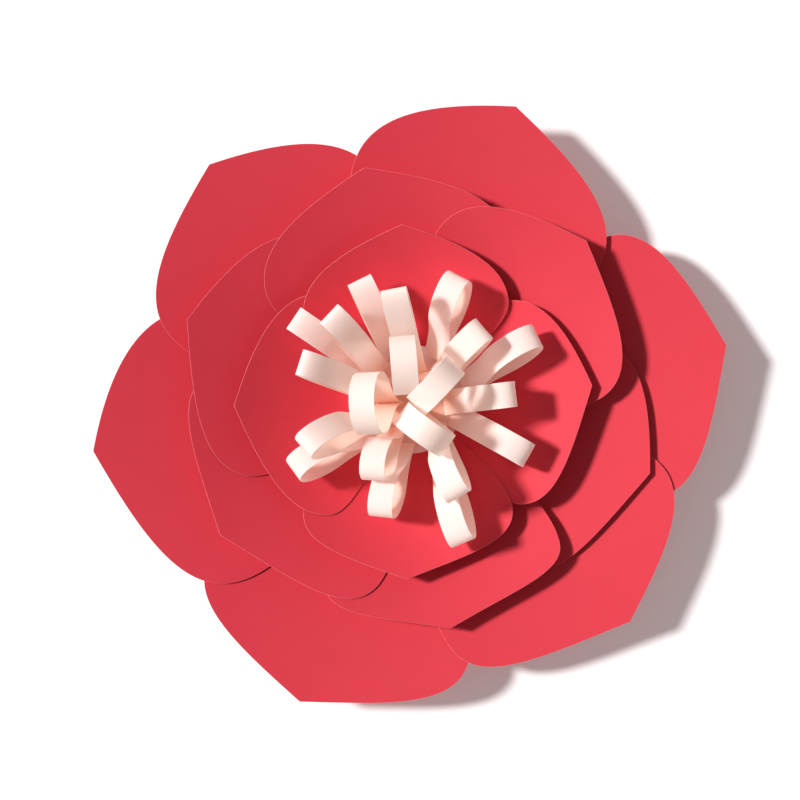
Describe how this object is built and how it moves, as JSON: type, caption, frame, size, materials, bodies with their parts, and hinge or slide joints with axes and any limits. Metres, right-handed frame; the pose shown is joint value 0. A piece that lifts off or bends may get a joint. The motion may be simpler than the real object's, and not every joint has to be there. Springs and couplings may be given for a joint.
{
  "type": "giant paper flower",
  "caption": "Large layered flower of cut and glued card: rings of broad cupped petals with blunt tips round a bunch of looped paper strips, flat at the back.",
  "frame": {"origin": "centre of the flat back of the round backing card", "axes": "+Z out of the flower's face, square to the backing card; +Y to the top of the flower as it hangs on a wall; +X to its right seen from the front"},
  "size_m": [0.4012, 0.3786, 0.0913],
  "materials": {
    "red_card": "matte uncoated card",
    "pale_pink_paper": "matte uncoated paper",
    "backing_card": "plain brown card"
  },
  "bodies": {
    "root": {"backing_card": "backing_card", "outer_petal_1": "red_card", "outer_petal_2": "red_card", "outer_petal_3": "red_card", "outer_petal_4": "red_card", "outer_petal_5": "red_card", "outer_petal_6": "red_card", "middle_petal_1": "red_card", "middle_petal_2": "red_card", "middle_petal_3": "red_card", "middle_petal_4": "red_card", "middle_petal_5": "red_card", "middle_petal_6": "red_card", "inner_petal_1": "red_card", "inner_petal_2": "red_card", "inner_petal_3": "red_card", "inner_petal_4": "red_card", "loop_pad": "pale_pink_paper", "loop_01": "pale_pink_paper", "loop_02": "pale_pink_paper", "loop_03": "pale_pink_paper", "loop_04": "pale_pink_paper", "loop_05": "pale_pink_paper", "loop_06": "pale_pink_paper", "loop_07": "pale_pink_paper", "loop_08": "pale_pink_paper", "loop_09": "pale_pink_paper", "loop_10": "pale_pink_paper", "loop_11": "pale_pink_paper", "loop_12": "pale_pink_paper", "loop_13": "pale_pink_paper", "loop_14": "pale_pink_paper", "loop_15": "pale_pink_paper", "loop_16": "pale_pink_paper", "loop_17": "pale_pink_paper", "loop_18": "pale_pink_paper", "loop_19": "pale_pink_paper", "loop_20": "pale_pink_paper"}
  },
  "joints": []
}
